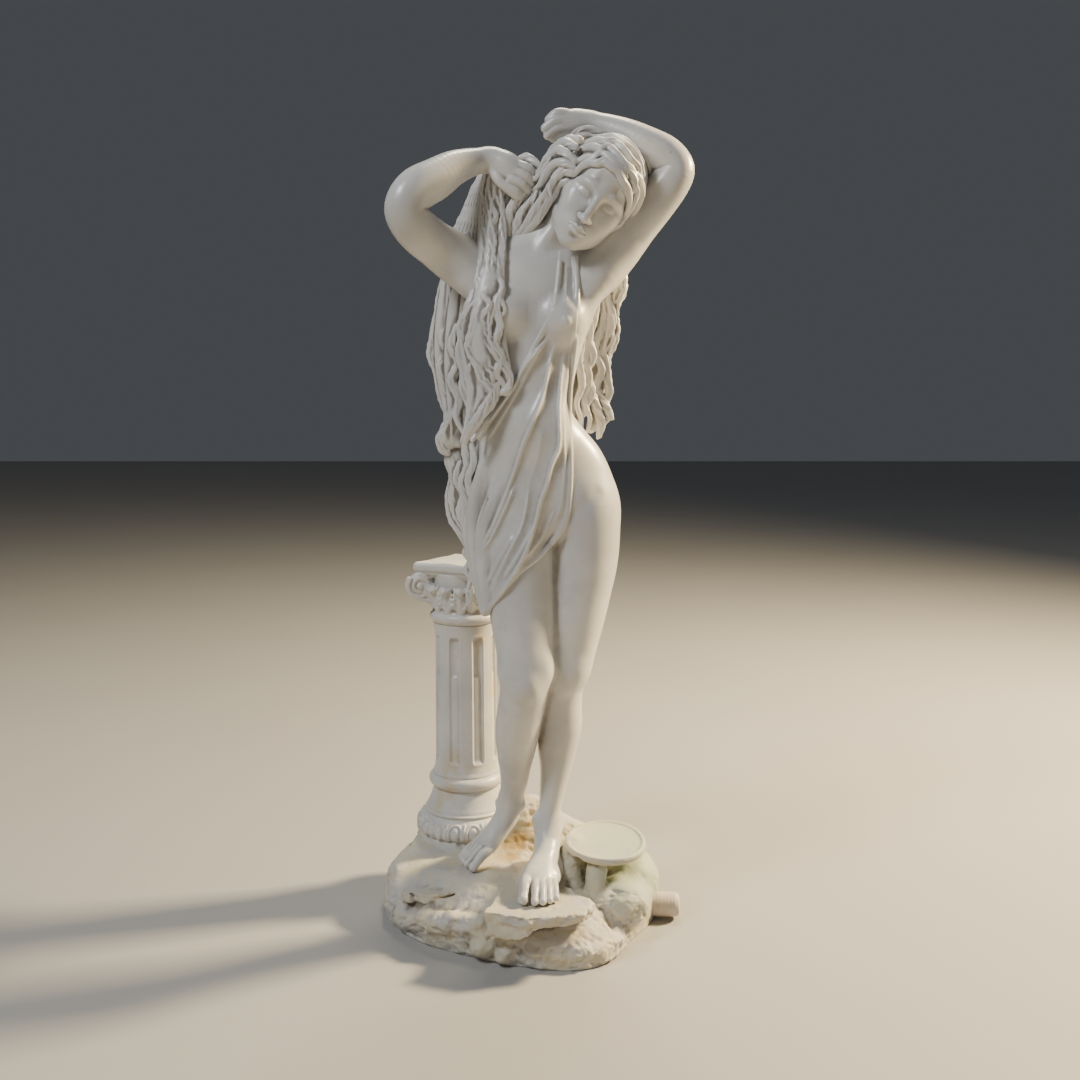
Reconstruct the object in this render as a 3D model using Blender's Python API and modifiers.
"""White marble statue: a standing Aphrodite with raised arms and long waving hair, thinly draped, beside a short
fluted column, cast in one with the rocky plinth. A round-ended pipe stub sits in a socket in the plinth's side.

Run it with: blender --background --python part.py
Metres, +Z up. The statue faces -Y and the viewer's right is +X. The origin is on the underside of the plinth.
"""

import math

import bmesh
import bpy
from mathutils import Matrix, Vector, noise

# Driving dimensions, in metres
FIGURE_HEIGHT = 0.648  # from the soles to the top of the raised forearm
PLINTH_RISE = 0.052  # the level of the rock under the soles
PLINTH_RADIUS = 0.112  # of the rounded plinth, before its outline waves in and out
COLUMN_X, COLUMN_Y = -0.052, 0.075
SHAFT_RADIUS = 0.0285
SHAFT_HEIGHT = 0.139
FLUTE_COUNT = 8
FLUTE_RADIUS = 0.0062
FLUTE_END_GAP = 0.007  # of plain shaft above and below each flute
BASE_TORUS_RADIUS = 0.046  # out to the bead with the carved eggs
BASE_HEIGHT = 0.066
EGG_COUNT = 16
CAPITAL_HEIGHT = 0.0585
ABACUS_HALF = 0.038  # from the axis to the middle of a side
ABACUS_THICK = 0.013
VOLUTE_RADIUS = 0.0115
DISH_RADIUS = 0.034
DISH_THICK = 0.007
DISH_X, DISH_Y, DISH_LEVEL = 0.074, -0.010, 0.080
STUB_RADIUS = 0.0108
STUB_REACH = 0.0245  # how far it stands out of the plinth
STUB_SEAT = 0.014  # how deep it sits in its socket
STUB_LEVEL = 0.0127  # of its axis
STUB_TURN = math.radians(-4)
FIT_GAP = 0.0003
FUSE_VOXEL = 0.0018
TRIANGLE_BUDGET = 9300

# The figure is drawn in millimetres on a statue whose soles are 52 mm up and whose forearm's top is at 700 mm
DRAWN_SOLE, DRAWN_TOP = 52.0, 700.0
UNIT = FIGURE_HEIGHT / (DRAWN_TOP - DRAWN_SOLE)

# Trunk and legs, as level sections: height, centre x, centre y, half width, half depth
TRUNK = (
    (604, 17, 8, 22, 18), (588, 16, 8, 44, 23), (570, 15, 6, 56, 29), (550, 14, 4, 55, 32), (530, 13, 3, 50, 33),
    (508, 11, 2, 43, 32), (488, 10, 0, 39, 30), (470, 8.5, -2, 37, 27.5), (453, 8.5, -3, 36, 26.5),
    (438, 13, -2, 42, 28.5), (422, 18, 0, 50, 32), (402, 22, 2, 56.5, 36), (380, 25, 4, 60, 39),
    (356, 26, 5, 59.5, 39), (338, 26, 4, 54, 35), (320, 26, 2, 40, 26),
)
LEFT_LEG = (
    (420, 45, 4, 14, 18), (400, 50, 4, 25, 29), (376, 53, 4, 32.5, 36), (345, 55, 4, 31.5, 37), (320, 53.5, 3, 30.5, 35), (297, 50, 2, 29, 33),
    (275, 46.5, 0, 27.5, 31), (255, 43, -1, 26, 28), (235, 37.5, -2, 22.5, 25), (215, 35, -2, 21, 24),
    (198, 35, 0, 20, 23), (180, 35.5, 4, 19.5, 23), (160, 33.5, 6, 17.7, 22), (140, 32, 5, 14, 18),
    (120, 29, 3, 11.3, 14.5), (104, 26.5, 1, 10.4, 12.5), (88, 25, 0, 11.5, 15),
)
RIGHT_LEG = (
    (420, 6, 3, 14, 18), (400, 4, 2, 25, 29), (376, 2, 1, 31.5, 35.5), (345, 1, -4, 32, 36), (320, 1, -9, 30.5, 34), (297, 2, -14, 29, 31.5),
    (275, 3.5, -19, 27, 29), (255, 5, -23, 24.5, 27), (237, 6.5, -26, 22, 25.5), (221, 5.5, -27, 21, 24.5),
    (205, 3, -24, 20.5, 23.5), (190, 0.5, -19, 19.5, 23), (172, -2, -12, 18, 22.5), (155, -3, -6, 15.5, 20),
    (140, -4, 0, 13, 16.5), (125, -5.5, 6, 11.3, 13.5), (110, -8, 12, 10.8, 12.5),
)
# Arms, neck and feet, as sections along a path: x, y, z, half width across the view, half depth
RIGHT_ARM = (
    (-20, 8, 570, 23, 22), (-42, 1, 575, 22, 21), (-58, -10, 583, 19.5, 19.5), (-74, -24, 593, 18.5, 18.5),
    (-86, -36, 604, 18, 18), (-88, -41, 617, 17.5, 17.5), (-80, -38, 628, 17, 17), (-66, -31, 637, 16, 16),
    (-53, -21, 648, 13.5, 14), (-40, -12, 654, 11.5, 12.5), (-28, -5, 657, 10, 11.5), (-15, 2, 656, 11, 12),
)
LEFT_ARM = (
    (46, 5, 566, 24, 22), (70, 3, 574, 23, 21), (88, 1, 595, 19.5, 19), (106, -2, 616, 18.5, 18),
    (121, -5, 634, 17.5, 17.5), (129, -6, 648, 16.5, 16.5), (121, -4, 660, 16, 16), (107, 0, 668.5, 15.5, 15),
    (90, 5, 678.5, 13.5, 13.5), (73, 10, 686, 11.5, 11.5), (58, 13, 689.5, 10, 11), (44, 13, 688, 10.5, 12),
)
NECK = ((13, 8, 566, 30, 21), (17, 7, 582, 24, 19.5), (26, 4, 594, 20, 18), (39, 1, 607, 19, 18.5), (52, -2, 620, 20, 20))
RIGHT_HAND = ((-16, 3, 657, 12, 11), (-4, 3, 652, 13, 11), (4, 0, 644, 11, 9), (0, -3, 636, 8, 7), (-8, -2, 633, 5, 5))
LEFT_HAND = ((48, 13, 688, 11, 11.5), (36, 13, 688, 12, 9), (27, 13, 685, 11.5, 7.5), (21, 12, 680, 8, 6))
LEFT_FOOT = ((25, 8, 70, 12, 14), (25, 2, 74, 12.5, 15), (23, -16, 68, 13.5, 12), (20, -36, 62, 16, 9.5),
             (18, -56, 58, 18.5, 7.5), (17, -72, 56.5, 17.5, 6))
RIGHT_FOOT = ((-8, 13, 108, 11, 13), (-10, 17, 98, 12, 14), (-16, 12, 86, 12.5, 12), (-22, 7, 75, 13.5, 10.5),
              (-27, 1, 66, 14, 8.5), (-31, -4, 61, 13.5, 7))
TOE_RADII = (6.2, 4.6, 4.4, 4.1, 3.8)

# The head, drawn about the middle of the skull and then set down: tilted to its left shoulder and looking down
HEAD_AT = (66.5, -10, 630)
HEAD_ROLL, HEAD_PITCH, HEAD_YAW = math.radians(35), math.radians(13), math.radians(6)
SKULL = (((0, 6, 8), (31, 38, 36)), ((0, -12, -15), (25, 27, 33)), ((0, -29, -39), (9, 9, 8)),
         ((0, -37, 12), (15, 6, 9)), ((-14, -24, -13), (10, 11, 11)), ((14, -24, -13), (10, 11, 11)),
         ((0, -35, -25), (7.5, 6, 5)))
NOSE = ((0, -36, 6, 3.2, 3), (0, -40.5, -3, 3.6, 3.6), (0, -45, -11.5, 4.6, 4.2), (0, -42, -14.5, 5.2, 3.6))
HAIR_CAP = (((0, 9, 14), (35.5, 39, 36)), ((-13, -20, 28), (20, 17, 12)), ((15, -20, 26), (20, 18, 13)),
            ((28, 0, 0), (9, 20, 28)), ((-30, 2, 2), (11, 20, 28)))
BREASTS = (((37, -19, 528), (20, 18.5, 20)), ((-8, -19, 533), (20, 17, 20)))

# Locks of hair: the points that each one passes through, then its radius at the middle
LOCKS = (
    # swept from the head to the right hand
    (((52, -18, 668), (30, -14, 664), (12, -8, 655), (-4, -6, 648)), 10),
    (((48, -28, 650), (30, -24, 645), (14, -16, 640), (0, -8, 640)), 9),
    (((62, 8, 670), (36, 10, 662), (12, 8, 656), (-6, 8, 650)), 12),
    # the roll that hangs behind the neck
    (((34, 2, 644), (18, 2, 630), (6, 2, 616), (-3, 0, 600), (0, 4, 588)), 11),
    (((12, 8, 648), (-2, 8, 630), (-12, 4, 608), (-14, 2, 588)), 12),
    # the veil from the hand, and the long lock down the front
    (((-18, 2, 650), (-24, 2, 622), (-28, -8, 596), (-25, -25, 572), (-20, -31, 548), (-28, -34, 524), (-22, -34, 500),
      (-11, -35, 480), (-6, -34, 468)), 8.5),
    (((-8, 0, 646), (-18, -2, 618), (-18, -18, 592), (-14, -29, 566), (-24, -34, 540), (-18, -36, 516), (-26, -35, 490),
      (-22, -36, 462), (-30, -34, 440), (-41, -30, 425)), 7.5),
    (((-28, 6, 646), (-34, 8, 616), (-38, 4, 590), (-34, -18, 566), (-36, -26, 540), (-40, -26, 512), (-38, -28, 484),
      (-34, -30, 456), (-44, -24, 436)), 8),
    # the left edge of the fall behind the back, down to the column
    (((-46, 18, 590), (-56, 22, 572), (-61, 26, 545), (-69, 28, 508), (-62, 28, 478), (-60, 28, 458), (-54, 26, 444),
      (-60, 24, 425), (-52, 22, 404), (-52, 22, 384), (-55, 20, 366), (-48, 16, 348), (-42, 12, 336)), 9.5),
    (((-38, 20, 596), (-46, 18, 562), (-54, 16, 530), (-56, 14, 500), (-48, 14, 474), (-52, 12, 448), (-44, 8, 426),
      (-48, 6, 402), (-42, 6, 378), (-46, 6, 356), (-42, 8, 338)), 9),
    # the right edge of the fall
    (((84, 22, 600), (76, 24, 575), (68, 26, 552), (71, 28, 530), (64, 28, 505), (68, 28, 480), (64, 28, 458),
      (70, 26, 443), (62, 24, 430)), 9.5),
    (((80, 30, 600), (62, 26, 560), (56, 24, 530), (58, 24, 505), (52, 24, 480), (56, 24, 458), (50, 24, 438)), 8),
)
BACK_LOCKS = 7  # between the two edges, over the back
BACK_TOP = ((-34, 36, 606), (82, 40, 618))
BACK_ENDS = ((-46, 44, 346), (52, 42, 418))
BACK_WAVES, BACK_WAVE_REACH, BACK_LOCK_RADIUS = 5.5, 4.5, 11.0

# The cloth: its right and left edges by height, with x, from the shoulder to the low corner by the column
CLOTH_RIGHT = ((580, 46), (547, 48), (530, 49), (490, 44), (457, 42), (417, 43), (385, 42), (365, 39), (352, 33),
               (341, 25), (331, 14), (322, 4), (308, -8), (296, -18), (286, -25))
CLOTH_LEFT = ((580, 34), (547, 30), (527, 23), (507, 12), (479, -2), (453, -22), (425, -37), (400, -46), (360, -44),
              (336, -39), (316, -35), (300, -32), (286, -27))
CLOTH_PROUD = 3.2
CLOTH_THICK = 9.0
# Its folds: the x and height that each ridge passes through, its height and its half width
FOLDS = (
    (((33, 508), (25, 480), (19, 463), (8, 434), (2, 417), (-9, 392), (-26, 366), (-33, 348)), 2.6, 4.5),
    (((40, 504), (35, 476), (31, 447), (29, 420), (23, 403), (19, 383), (11, 360), (2, 337), (-8, 315), (-24, 292)), 3.0, 4.5),
    (((-3, 390), (-12, 371), (-23, 348), (-31, 338)), 2.2, 3.5),
    (((8, 392), (7, 376), (2, 357), (-11, 332), (-23, 307)), 2.0, 3.5),
    (((24, 527), (14, 507), (0, 479), (-22, 453), (-34, 425)), 3.2, 4.5),
    (((47, 573), (48, 543), (46, 505), (42, 470), (43, 417), (42, 385), (37, 360), (25, 341)), 2.6, 3.5),
    (((40, 572), (39, 545)), 1.8, 2.5),
    (((34, 572), (31, 546)), 1.8, 2.5),
)


def drawn(x, y, z):
    """A point of the figure's drawing, in metres on the real statue."""
    return Vector((x * UNIT, y * UNIT, PLINTH_RISE + (z - DRAWN_SOLE) * UNIT))


def remove_everything():
    for obj in list(bpy.data.objects):
        bpy.data.objects.remove(obj)


def collection(name):
    made = bpy.data.collections.new(name)
    bpy.context.scene.collection.children.link(made)
    return made


def material(name, colour, roughness):
    made = bpy.data.materials.new(name)
    made.use_nodes = True
    shader = made.node_tree.nodes["Principled BSDF"]
    shader.inputs["Base Color"].default_value = (*colour, 1)
    shader.inputs["Roughness"].default_value = roughness
    shader.inputs["Metallic"].default_value = 0
    return made


def object_of(name, bm, where):
    mesh = bpy.data.meshes.new(name)
    bmesh.ops.recalc_face_normals(bm, faces=bm.faces)
    bm.to_mesh(mesh)
    bm.free()
    obj = bpy.data.objects.new(name, mesh)
    where.objects.link(obj)
    return obj


def between(rows, at, steps):
    """Rows of numbers with smooth ones put in between, on a curve through them all."""
    found = []
    for i in range(len(rows) - 1):
        before, start, end, after = (rows[max(0, min(len(rows) - 1, i + k))] for k in (-1, 0, 1, 2))
        for step in range(steps):
            t = step / steps
            found.append(tuple(at(a, b, c, d, t) for a, b, c, d in zip(before, start, end, after)))
    return [*found, tuple(rows[-1])]


def catmull(a, b, c, d, t):
    return 0.5 * (2 * b + (c - a) * t + (2 * a - 5 * b + 4 * c - d) * t**2 + (3 * b - a - 3 * c + d) * t**3)


def smooth_rows(rows, steps=3):
    return between(rows, catmull, steps)


def loft(bm, rings):
    """A closed tube through rings of points, each end closed to its middle."""
    made = [[bm.verts.new(p) for p in ring] for ring in rings]
    count = len(made[0])
    for low, high in zip(made, made[1:]):
        for i in range(count):
            bm.faces.new((low[i], low[(i + 1) % count], high[(i + 1) % count], high[i]))
    for ring in (made[0], made[-1]):
        middle = bm.verts.new(sum((v.co for v in ring), Vector()) / count)
        for i in range(count):
            bm.faces.new((ring[i], ring[(i + 1) % count], middle))


def level_limb(bm, sections, sides=24):
    rings = []
    for z, x, y, wide, deep in smooth_rows(sections):
        turns = (math.tau * i / sides for i in range(sides))
        rings.append([drawn(x + wide * math.cos(a), y + deep * math.sin(a), z) for a in turns])
    loft(bm, rings)


def path_limb(bm, sections, place=drawn, sides=16, steps=3):
    """A limb along any path: the half width lies across the view and the half depth along it."""
    rows = smooth_rows(sections, steps)
    centres = [Vector(row[:3]) for row in rows]
    rings = []
    for i, row in enumerate(rows):
        along = (centres[min(i + 1, len(rows) - 1)] - centres[max(i - 1, 0)]).normalized()
        across = along.cross(Vector((0, 1, 0)))
        if across.length < 0.3:
            across = Vector((1, 0, 0)) - along * along.x
        across.normalize()
        deep = across.cross(along)
        ring = []
        for k in range(sides):
            a = math.tau * k / sides
            ring.append(place(*(centres[i] + across * row[3] * math.cos(a) + deep * row[4] * math.sin(a))))
        rings.append(ring)
    loft(bm, rings)


def ball(bm, centre, radii, place=drawn):
    made = bmesh.ops.create_uvsphere(bm, u_segments=20, v_segments=12, radius=1)
    for v in made["verts"]:
        v.co = place(*(centre[k] + v.co[k] * radii[k] for k in range(3)))


def head_place(x, y, z):
    turn = (Matrix.Rotation(HEAD_ROLL, 3, "Y") @ Matrix.Rotation(HEAD_YAW, 3, "Z") @ Matrix.Rotation(HEAD_PITCH, 3, "X"))
    return drawn(*(Vector(HEAD_AT) + turn @ Vector((x, y, z))))


def add_head(bm):
    for centre, radii in (*SKULL, *HAIR_CAP):
        ball(bm, centre, radii, head_place)
    path_limb(bm, NOSE, head_place, sides=10)


def add_toes(bm, foot):
    """Five toes in a fan at the end of a foot, the great toe on the inner side."""
    x, y, z, wide, _ = foot[-1]
    inner = -1 if foot is LEFT_FOOT else 1
    along = (Vector(foot[-1][:3]) - Vector(foot[-3][:3])).normalized()
    across = Vector((0, 0, 1)).cross(along).normalized()
    if across.x * inner < 0:
        across = -across
    spread = wide - TOE_RADII[0]
    for i, radius in enumerate(TOE_RADII):
        at = Vector((x, y, z)) + across * spread * (1 - i / 2) + along * (4 - 1.6 * i)
        start, end = at - along * 7, at + along * 5
        ground = DRAWN_SOLE + radius * 0.8
        rows = ((*start, radius, radius), (*at, radius, radius), (end.x, end.y, ground, radius * 0.8, radius * 0.75))
        path_limb(bm, rows, sides=10)


def add_lock(bm, points, radius):
    """One lock of hair, thick at its middle and tapering to its ends."""
    rows = []
    for i, point in enumerate(points):
        share = i / (len(points) - 1)
        thick = radius * (0.35 + 0.65 * math.sin(math.pi * (0.12 + 0.76 * share)) ** 0.6)
        rows.append((*point, thick, thick * 0.75))
    path_limb(bm, rows, sides=10)


def back_lock(share):
    """A lock down the back, at a share of the way from the left edge of the fall to the right one."""
    top, end = (Vector(a).lerp(Vector(b), share) for a, b in (BACK_TOP, BACK_ENDS))
    points = []
    count = 15
    for i in range(count):
        t = i / (count - 1)
        at = top.lerp(end, t)
        spread = math.sin(math.pi * min(1, t * 1.3)) * (share - 0.5) * 26
        sway = BACK_WAVE_REACH * math.sin(math.tau * BACK_WAVES * t + share * 5)
        bulge = 6 * math.sin(math.pi * share) * (1 - t)
        points.append((at.x + spread + sway, at.y + bulge - 8 * math.sin(math.pi * t), at.z))
    return points


def add_hair(bm):
    for points, radius in LOCKS:
        add_lock(bm, points, radius)
    for i in range(BACK_LOCKS):
        add_lock(bm, back_lock((i + 0.5) / BACK_LOCKS), BACK_LOCK_RADIUS)


def row_at(rows, z):
    """A table's other numbers at a height, on straight lines between its rows, which run downwards."""
    if z >= rows[0][0]:
        return rows[0][1:]
    for high, low in zip(rows, rows[1:]):
        if z >= low[0]:
            t = (z - low[0]) / (high[0] - low[0])
            return tuple(b + (a - b) * t for a, b in zip(high[1:], low[1:]))
    return rows[-1][1:]


def front_of(x, z):
    """How far forward the body stands at a place on its front, in the drawing's own y."""
    found = 60.0
    for part in (TRUNK, LEFT_LEG, RIGHT_LEG):
        if part[-1][0] <= z <= part[0][0]:
            cx, cy, wide, deep = row_at(part, z)
            out = max(-0.98, min(0.98, (x - cx) / wide))
            found = min(found, cy - deep * math.sqrt(1 - out * out))
    for centre, radii in BREASTS:
        rest = 1 - ((x - centre[0]) / radii[0]) ** 2 - ((z - centre[2]) / radii[2]) ** 2
        if rest > 0:
            found = min(found, centre[1] - radii[1] * math.sqrt(rest))
    return found


def fold_rise(x, z):
    """How far the folds stand off the cloth at a place."""
    best = 0.0
    for points, height, half in FOLDS:
        for (ax, az), (bx, bz) in zip(points, points[1:]):
            run = (bx - ax) ** 2 + (bz - az) ** 2
            t = max(0, min(1, ((x - ax) * (bx - ax) + (z - az) * (bz - az)) / run))
            off = math.hypot(x - ax - t * (bx - ax), z - az - t * (bz - az)) / half
            best = max(best, height * math.exp(-off * off))
    return best


def add_cloth(bm, across=28, down=64):
    """The thin cloth over the front: a sheet that follows the body, thickened backwards into it."""
    top, bottom = CLOTH_RIGHT[0][0], CLOTH_RIGHT[-1][0]
    front, back = [], []
    for j in range(down + 1):
        z = top + (bottom - top) * j / down
        right, left = row_at(CLOTH_RIGHT, z)[0], row_at(CLOTH_LEFT, z)[0]
        depths = [front_of(left + (right - left) * i / across, z) for i in range(across + 1)]
        for i in range(across + 1):
            x = left + (right - left) * i / across
            near = depths[max(0, i - 3) : i + 4]
            proud = CLOTH_PROUD * min(1, (top - z) / 12)
            y = 0.5 * depths[i] + 0.5 * sum(near) / len(near) - proud - fold_rise(x, z)
            front.append(bm.verts.new(drawn(x, y, z)))
            back.append(bm.verts.new(drawn(x, y + CLOTH_THICK, z)))
    row = across + 1
    for j in range(down):
        for i in range(across):
            a, b, c, d = j * row + i, j * row + i + 1, (j + 1) * row + i + 1, (j + 1) * row + i
            bm.faces.new((front[a], front[b], front[c], front[d]))
            bm.faces.new((back[d], back[c], back[b], back[a]))
    rim = [*range(row), *(j * row + across for j in range(1, down + 1)),
           *(down * row + i for i in range(across - 1, -1, -1)), *(j * row for j in range(down - 1, 0, -1))]
    for a, b in zip(rim, [*rim[1:], rim[0]]):
        bm.faces.new((front[b], front[a], back[a], back[b]))


def add_figure(bm):
    for sections in (TRUNK, LEFT_LEG, RIGHT_LEG):
        level_limb(bm, sections)
    for sections in (RIGHT_ARM, LEFT_ARM, NECK, RIGHT_HAND, LEFT_HAND, LEFT_FOOT, RIGHT_FOOT):
        path_limb(bm, sections)
    for centre, radii in BREASTS:
        ball(bm, centre, radii)
    for foot in (LEFT_FOOT, RIGHT_FOOT):
        add_toes(bm, foot)
    add_head(bm)
    add_hair(bm)
    add_cloth(bm)


# The plinth's outline: shares of its radius at every thirtieth degree from +X, by the left, to +X again
OUTLINE = (1.11, 1.08, 1.02, 1.0, 1.03, 1.13, 1.12, 0.96, 0.86, 0.93, 1.11, 1.02)
PLINTH_CENTRE_Y = 0.020
PLINTH_SHELF = 0.045  # the level of the rock at the plinth's rim
SIDE_PROFILE = ((0.0, 0.985), (0.2, 0.995), (0.5, 0.995), (0.8, 0.965), (0.97, 0.91), (1.03, 0.84))
# Mounds on the rock: x, y, height over the shelf, radius
MOUNDS = ((0.006, 0.060, 0.042, 0.026), (0.020, -0.035, 0.010, 0.050), (-0.052, 0.075, 0.012, 0.050), (-0.104, 0.088, 0.020, 0.032),
          (0.098, 0.012, 0.010, 0.030), (-0.020, 0.0, 0.006, 0.045))
SLAB = ((-0.030, -0.072), (0.000, -0.092), (0.026, -0.096), (0.060, -0.086), (0.066, -0.060), (0.040, -0.040),
        (-0.010, -0.040), (-0.034, -0.054))
SLAB_LEVELS = (0.028, 0.053)


def outline_radius(angle):
    place = (angle % math.tau) / math.tau * len(OUTLINE)
    i = int(place)
    a, b, c, d = (OUTLINE[(i + k) % len(OUTLINE)] for k in (-1, 0, 1, 2))
    return PLINTH_RADIUS * catmull(a, b, c, d, place - i)


def rock_level(x, y):
    """The height of the rock's upper face at a place, without its small roughness."""
    rise = PLINTH_SHELF * (PLINTH_RISE / 0.052)
    for mx, my, high, radius in MOUNDS:
        rise += high * math.exp(-((x - mx) ** 2 + (y - my) ** 2) / radius**2)
    return rise


def rough(x, y, z, grain=0.018):
    return noise.fractal(Vector((x, y, z)) / grain, 1.0, 2.0, 3)


def add_rock(bm, around=72, inward=9):
    """The plinth: rings up its side, then in over the top to the middle, and a flat underside."""
    rings = []
    for up, out in SIDE_PROFILE:
        rings.append([])
        for k in range(around):
            a = math.tau * k / around
            r = outline_radius(a) * out
            x, y = r * math.cos(a), PLINTH_CENTRE_Y + r * math.sin(a)
            z = PLINTH_SHELF * up
            swell = 0.0028 * rough(x, y, z) if up > 0 else 0
            rings[-1].append(Vector((x + swell * math.cos(a), y + swell * math.sin(a), z)))
    for j in range(inward):
        out = SIDE_PROFILE[-1][1] * (1 - (j + 1) / (inward + 1))
        rings.append([])
        for k in range(around):
            a = math.tau * k / around
            r = outline_radius(a) * out
            x, y = r * math.cos(a), PLINTH_CENTRE_Y + r * math.sin(a)
            rings[-1].append(Vector((x, y, rock_level(x, y) + 0.0022 * rough(x, y, 0.3))))
    rings[0] = [Vector((v.x, v.y, -0.002)) for v in rings[0]]
    loft(bm, rings)


def prism(bm, corners, low, high):
    bottom = [bm.verts.new((x, y, low)) for x, y in corners]
    upper = [bm.verts.new((x, y, high)) for x, y in corners]
    bm.faces.new(bottom[::-1])
    bm.faces.new(upper)
    for i in range(len(corners)):
        k = (i + 1) % len(corners)
        bm.faces.new((bottom[i], bottom[k], upper[k], upper[i]))


def add_dish(bm):
    """The small round dish on its stem, with the boulder under its outer side."""
    tilt = Matrix.Rotation(math.radians(6), 4, "X")
    place = Matrix.Translation((DISH_X, DISH_Y, DISH_LEVEL - DISH_THICK / 2))
    bmesh.ops.create_cone(bm, cap_ends=True, segments=40, radius1=DISH_RADIUS * 0.93, radius2=DISH_RADIUS,
                          depth=DISH_THICK, matrix=place @ tilt)
    foot, neck = PLINTH_SHELF - 0.010, DISH_LEVEL - DISH_THICK
    stem = [(0.020, foot), (0.0155, foot + 0.014), (0.0125, (foot + neck) / 2), (0.0135, neck - 0.004), (0.017, neck + 0.002)]
    rings = []
    for radius, z in stem:
        turns = (math.tau * k / 20 for k in range(20))
        rings.append([Vector((DISH_X - 0.012 + radius * math.cos(a), DISH_Y - 0.024 + radius * math.sin(a), z))
                      for a in turns])
    loft(bm, rings)
    for centre, radii in (((0.098, 0.000, 0.030), (0.026, 0.036, 0.024)), ((0.090, -0.034, 0.026), (0.024, 0.022, 0.018)),
                          ((0.044, 0.004, 0.050), (0.014, 0.018, 0.016))):
        ball(bm, centre, radii, lambda x, y, z: Vector((x, y, z)))


def column_levels():
    """The heights of the column's parts, each from the one below it."""
    foot = PLINTH_RISE
    shaft_low = foot + BASE_HEIGHT
    shaft_high = shaft_low + SHAFT_HEIGHT
    return foot, shaft_low, shaft_high, shaft_high + CAPITAL_HEIGHT


def half_round(radius, z, thick, steps=6):
    """A bead's profile, from its top to its bottom."""
    turns = (math.pi * (0.5 - i / steps) for i in range(steps + 1))
    return [(radius - thick + thick * math.cos(a), z + thick * math.sin(a)) for a in turns]


def turned(name, profile, where, steps=48):
    """A solid turned about the column's axis, from its profile as radius and height, top to bottom."""
    bm = bmesh.new()
    points = [bm.verts.new((radius, 0, z)) for radius, z in profile]
    for a, b in zip(points, points[1:]):
        bm.edges.new((a, b))
    mesh = bpy.data.meshes.new(name)
    bm.to_mesh(mesh)
    bm.free()
    obj = bpy.data.objects.new(name, mesh)
    obj.location = (COLUMN_X, COLUMN_Y, 0)
    where.objects.link(obj)
    screw = obj.modifiers.new("turn", "SCREW")
    screw.steps = screw.render_steps = steps
    screw.use_merge_vertices = True
    screw.merge_threshold = 1e-5
    return obj


def column_core(where):
    foot, shaft_low, shaft_high, top = column_levels()
    bell_low = shaft_high + 0.008
    profile = [(0, top - ABACUS_THICK), (SHAFT_RADIUS * 1.15, top - ABACUS_THICK), (SHAFT_RADIUS * 1.02, bell_low)]
    profile += half_round(SHAFT_RADIUS + 0.0055, shaft_high + 0.004, 0.004)
    profile += [(SHAFT_RADIUS, shaft_high - 0.002), (SHAFT_RADIUS, shaft_high - 0.006)]
    profile += [(SHAFT_RADIUS + 0.001, shaft_low + 0.012), (SHAFT_RADIUS + 0.003, shaft_low + 0.002)]
    profile += half_round(SHAFT_RADIUS + 0.0075, shaft_low - 0.006, 0.0075)
    waist = SHAFT_RADIUS + 0.003
    profile += [(waist, shaft_low - 0.015), (waist + 0.0025, shaft_low - 0.022), (waist + 0.008, foot + 0.028)]
    profile += half_round(BASE_TORUS_RADIUS, foot + 0.017, 0.009)
    profile += [(BASE_TORUS_RADIUS * 0.94, foot + 0.006), (BASE_TORUS_RADIUS * 0.94, foot - 0.020), (0, foot - 0.020)]
    return turned("column_core", profile, where)


def around_column(index, count, radius, turn=0.0):
    a = math.tau * (index + turn) / count
    return Vector((COLUMN_X + radius * math.cos(a), COLUMN_Y + radius * math.sin(a), 0)), a


def flute_cutter(where):
    """All the flutes as one cutter: rods with round ends, let into the shaft."""
    _, shaft_low, shaft_high, _ = column_levels()
    low, high = shaft_low + FLUTE_END_GAP + FLUTE_RADIUS, shaft_high - 0.006 - FLUTE_END_GAP - FLUTE_RADIUS
    bm = bmesh.new()
    steps = 4
    for i in range(FLUTE_COUNT):
        centre, _ = around_column(i, FLUTE_COUNT, SHAFT_RADIUS + FLUTE_RADIUS * 0.55, 0.5)
        ends = []
        for z, way in ((low, -1), (high, 1)):
            turns = [math.pi / 2 * (k + 0.5) / steps for k in range(steps)]
            rings = [(z + way * FLUTE_RADIUS * math.sin(a), FLUTE_RADIUS * math.cos(a)) for a in turns]
            ends.append(rings)
        levels = [*reversed(ends[0]), *ends[1]]
        loft(bm, [[centre + Vector((r * math.cos(math.tau * k / 12), r * math.sin(math.tau * k / 12), z))
                   for k in range(12)] for z, r in levels])
    return object_of("flute_cutter", bm, where)


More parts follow.
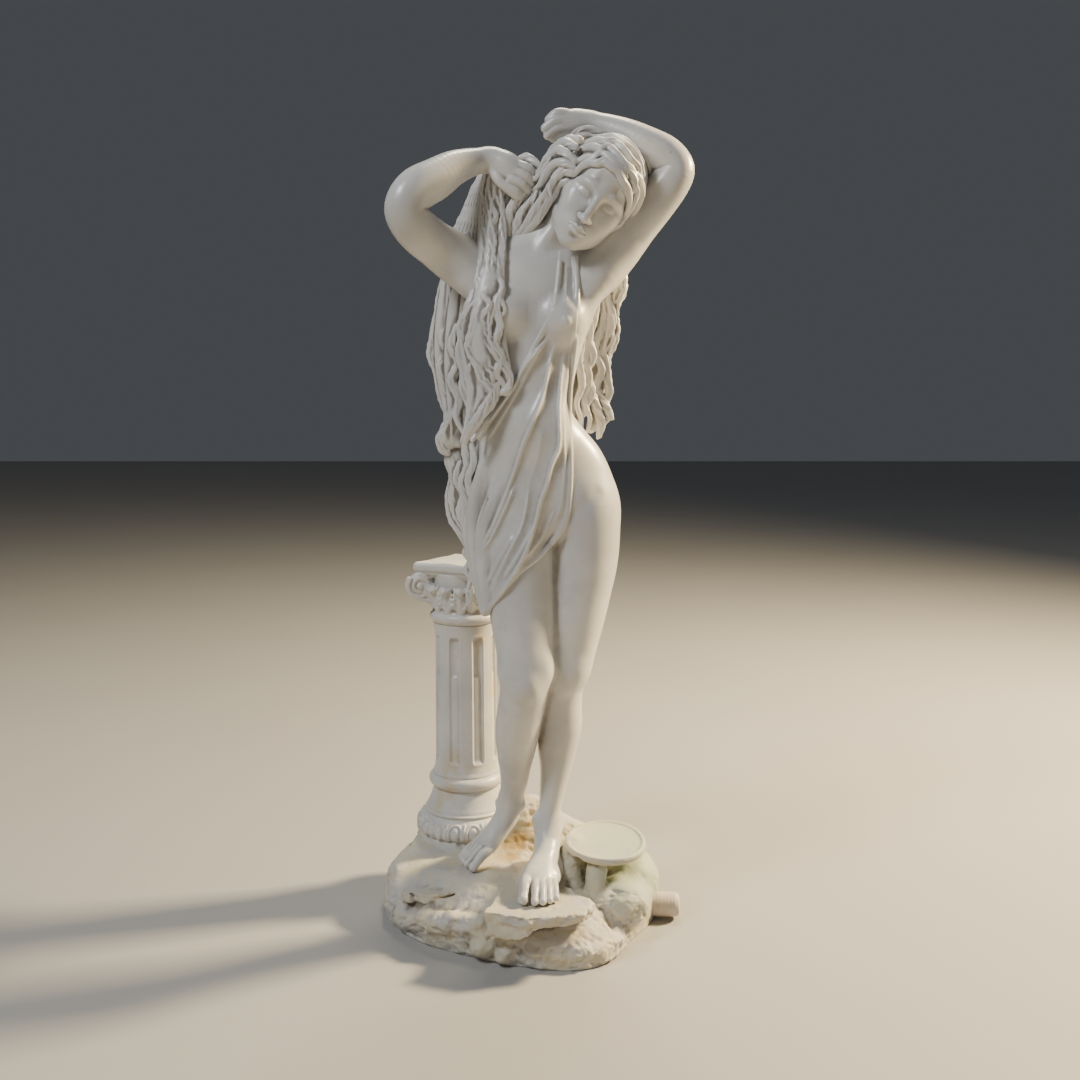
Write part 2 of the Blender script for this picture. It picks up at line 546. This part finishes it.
def add_column_carving(bm):
    """The eggs on the lower bead, the abacus, its corner volutes and the leaves between them."""
    foot, _, shaft_high, top = column_levels()
    for i in range(EGG_COUNT):
        centre, a = around_column(i, EGG_COUNT, BASE_TORUS_RADIUS - 0.0035, 0.25)
        made = bmesh.ops.create_uvsphere(bm, u_segments=10, v_segments=8, radius=1)
        for v in made["verts"]:
            out, side, up = v.co.x * 0.0055, v.co.y * 0.0065, v.co.z * 0.0085
            v.co = centre + Vector((out * math.cos(a) - side * math.sin(a), out * math.sin(a) + side * math.cos(a),
                                    foot + 0.0165 + up))
    corner = ABACUS_HALF * math.sqrt(2)
    abacus = []
    for quarter in range(4):
        for share, reach in ((-0.10, 0.97), (0.10, 0.97), (0.5, ABACUS_HALF * 0.96 / corner)):
            centre, _ = around_column(quarter + share, 4, corner * reach)
            abacus.append((centre.x, centre.y))
    prism(bm, abacus, top - ABACUS_THICK, top - 0.002)
    prism(bm, [(COLUMN_X + (x - COLUMN_X) * 0.93, COLUMN_Y + (y - COLUMN_Y) * 0.93) for x, y in abacus], top - 0.004, top)
    for quarter in range(4):
        centre, a = around_column(quarter, 4, corner * 0.82)
        across = Matrix.Rotation(a, 4, "Z") @ Matrix.Rotation(math.pi / 2, 4, "X")
        at = Matrix.Translation(centre + Vector((0, 0, top - ABACUS_THICK - VOLUTE_RADIUS * 0.9)))
        for radius, half in ((VOLUTE_RADIUS, 0.0060), (VOLUTE_RADIUS * 0.4, 0.0080)):
            bmesh.ops.create_cone(bm, cap_ends=True, segments=20, radius1=radius, radius2=radius, depth=half * 2,
                                  matrix=at @ across)
        inner, _ = around_column(quarter, 4, SHAFT_RADIUS * 0.8)
        rows = [(*(inner + Vector((0, 0, shaft_high + 0.012))), 0.010, 0.008),
                (*((inner + centre) / 2 + Vector((0, 0, shaft_high + 0.022))), 0.0095, 0.0075),
                (*(centre + Vector((0, 0, top - ABACUS_THICK - VOLUTE_RADIUS))), 0.0090, 0.0065)]
        path_limb(bm, rows, lambda x, y, z: Vector((x, y, z)), sides=10)
        for lean in (-0.13, 0, 0.13):
            leaf, a = around_column(quarter, 4, SHAFT_RADIUS * 1.02, 0.5 + lean)
            out = Vector((math.cos(a), math.sin(a), 0))
            rise = 0.022 if lean == 0 else 0.017
            rows = [(*(leaf + Vector((0, 0, shaft_high + 0.008))), 0.0045, 0.0035),
                    (*(leaf + out * 0.003 + Vector((0, 0, shaft_high + 0.008 + rise * 0.6))), 0.0055, 0.0035),
                    (*(leaf + out * 0.007 + Vector((0, 0, shaft_high + 0.008 + rise))), 0.0035, 0.003)]
            path_limb(bm, rows, lambda x, y, z: Vector((x, y, z)), sides=8)


def mesh_of(obj, where, name):
    """A plain mesh object of what an object's modifiers make, in its place, with the source removed."""
    bpy.context.view_layer.update()
    graph = bpy.context.evaluated_depsgraph_get()
    mesh = bpy.data.meshes.new_from_object(obj.evaluated_get(graph))
    mesh.transform(obj.matrix_world)
    made = bpy.data.objects.new(name, mesh)
    where.objects.link(made)
    bpy.data.objects.remove(obj)
    return made


def boolean(obj, other, operation):
    cut = obj.modifiers.new(operation.lower(), "BOOLEAN")
    cut.operation = operation
    cut.object = other


def joined(name, objects, where):
    bm = bmesh.new()
    for obj in objects:
        bm.from_mesh(obj.data)
        bpy.data.objects.remove(obj)
    mesh = bpy.data.meshes.new(name)
    bm.to_mesh(mesh)
    bm.free()
    made = bpy.data.objects.new(name, mesh)
    where.objects.link(made)
    return made


def helper_box(name, low, high, where):
    bm = bmesh.new()
    made = bmesh.ops.create_cube(bm, size=1)
    for v in made["verts"]:
        v.co = Vector((low[k] + (high[k] - low[k]) * (v.co[k] + 0.5) for k in range(3)))
    return object_of(name, bm, where)


def stub_matrix():
    """The stub's own frame: +Z points out of the plinth's side along the stub's axis."""
    reach = outline_radius(0.0)
    seat = Vector((reach - 0.005, PLINTH_CENTRE_Y - 0.012, STUB_LEVEL))
    return Matrix.Translation(seat) @ Matrix.Rotation(STUB_TURN, 4, "Z") @ Matrix.Rotation(math.pi / 2, 4, "Y")


def make_stub(where):
    """The pipe stub: a plug with a rounded outer end, its inner end sitting in the socket."""
    round_end = 0.008
    profile = [(0, STUB_REACH), (STUB_RADIUS - round_end, STUB_REACH)]
    for i in range(1, 6):
        a = math.pi / 2 * (1 - i / 5)
        profile.append((STUB_RADIUS - round_end + round_end * math.cos(a), STUB_REACH - round_end + round_end * math.sin(a)))
    profile += [(STUB_RADIUS * 0.96, -STUB_SEAT), (0, -STUB_SEAT)]
    bm = bmesh.new()
    points = [bm.verts.new((radius, 0, z)) for radius, z in profile]
    for a, b in zip(points, points[1:]):
        bm.edges.new((a, b))
    mesh = bpy.data.meshes.new("pipe_stub")
    bm.to_mesh(mesh)
    bm.free()
    obj = bpy.data.objects.new("pipe_stub", mesh)
    obj.matrix_world = stub_matrix()
    where.objects.link(obj)
    screw = obj.modifiers.new("turn", "SCREW")
    screw.steps = screw.render_steps = 40
    screw.use_merge_vertices = True
    screw.merge_threshold = 1e-5
    return obj


def socket_cutter(where):
    bm = bmesh.new()
    deep = STUB_SEAT + FIT_GAP
    length = deep + 0.060
    bmesh.ops.create_cone(bm, cap_ends=True, segments=40, radius1=STUB_RADIUS + FIT_GAP, radius2=STUB_RADIUS + FIT_GAP,
                          depth=length, matrix=stub_matrix() @ Matrix.Translation((0, 0, length / 2 - deep)))
    return object_of("socket_cutter", bm, where)


def fuse(obj, voxel):
    remesh = obj.modifiers.new("fuse", "REMESH")
    remesh.mode = "VOXEL"
    remesh.voxel_size = voxel


def soften(obj, passes):
    """Run the fused forms together a little, as a cast from a worn mould is."""
    smooth = obj.modifiers.new("soften", "SMOOTH")
    smooth.factor = 0.5
    smooth.iterations = passes


def thin_out(obj, triangles):
    bpy.context.view_layer.update()
    mesh = obj.evaluated_get(bpy.context.evaluated_depsgraph_get()).data
    mesh.calc_loop_triangles()
    decimate = obj.modifiers.new("thin_out", "DECIMATE")
    decimate.ratio = min(1.0, triangles / len(mesh.loop_triangles))


def make_statue(statue, cutters):
    core = column_core(cutters)
    flutes = flute_cutter(cutters)
    boolean(core, flutes, "DIFFERENCE")
    core = mesh_of(core, cutters, "fluted_core")
    bpy.data.objects.remove(flutes)
    bm = bmesh.new()
    add_figure(bm)
    add_rock(bm)
    prism(bm, SLAB, *SLAB_LEVELS)
    add_dish(bm)
    add_column_carving(bm)
    forms = object_of("forms", bm, cutters)
    whole = joined("fused_forms", [core, forms], cutters)
    fuse(whole, FUSE_VOXEL)
    soften(whole, 3)
    thin_out(whole, TRIANGLE_BUDGET)
    whole = mesh_of(whole, statue, "statue")
    floor = helper_box("floor_cutter", (-0.4, -0.4, -0.1), (0.4, 0.4, 0.0), cutters)
    socket = socket_cutter(cutters)
    for cutter in (floor, socket):
        cutter.hide_render = True
        cutter.display_type = "WIRE"
        boolean(whole, cutter, "DIFFERENCE")
    return whole


def main():
    remove_everything()
    statue, cutters = collection("marble_aphrodite_statue"), collection("cutters")
    whole = make_statue(statue, cutters)
    whole.data.materials.append(material("cast_marble", (0.72, 0.70, 0.66), 0.38))
    stub = make_stub(statue)
    stub.data.materials.append(material("stub_plaster", (0.74, 0.68, 0.64), 0.6))
    for obj in (whole, stub):
        obj.data.set_sharp_from_angle(angle=math.radians(50))


main()
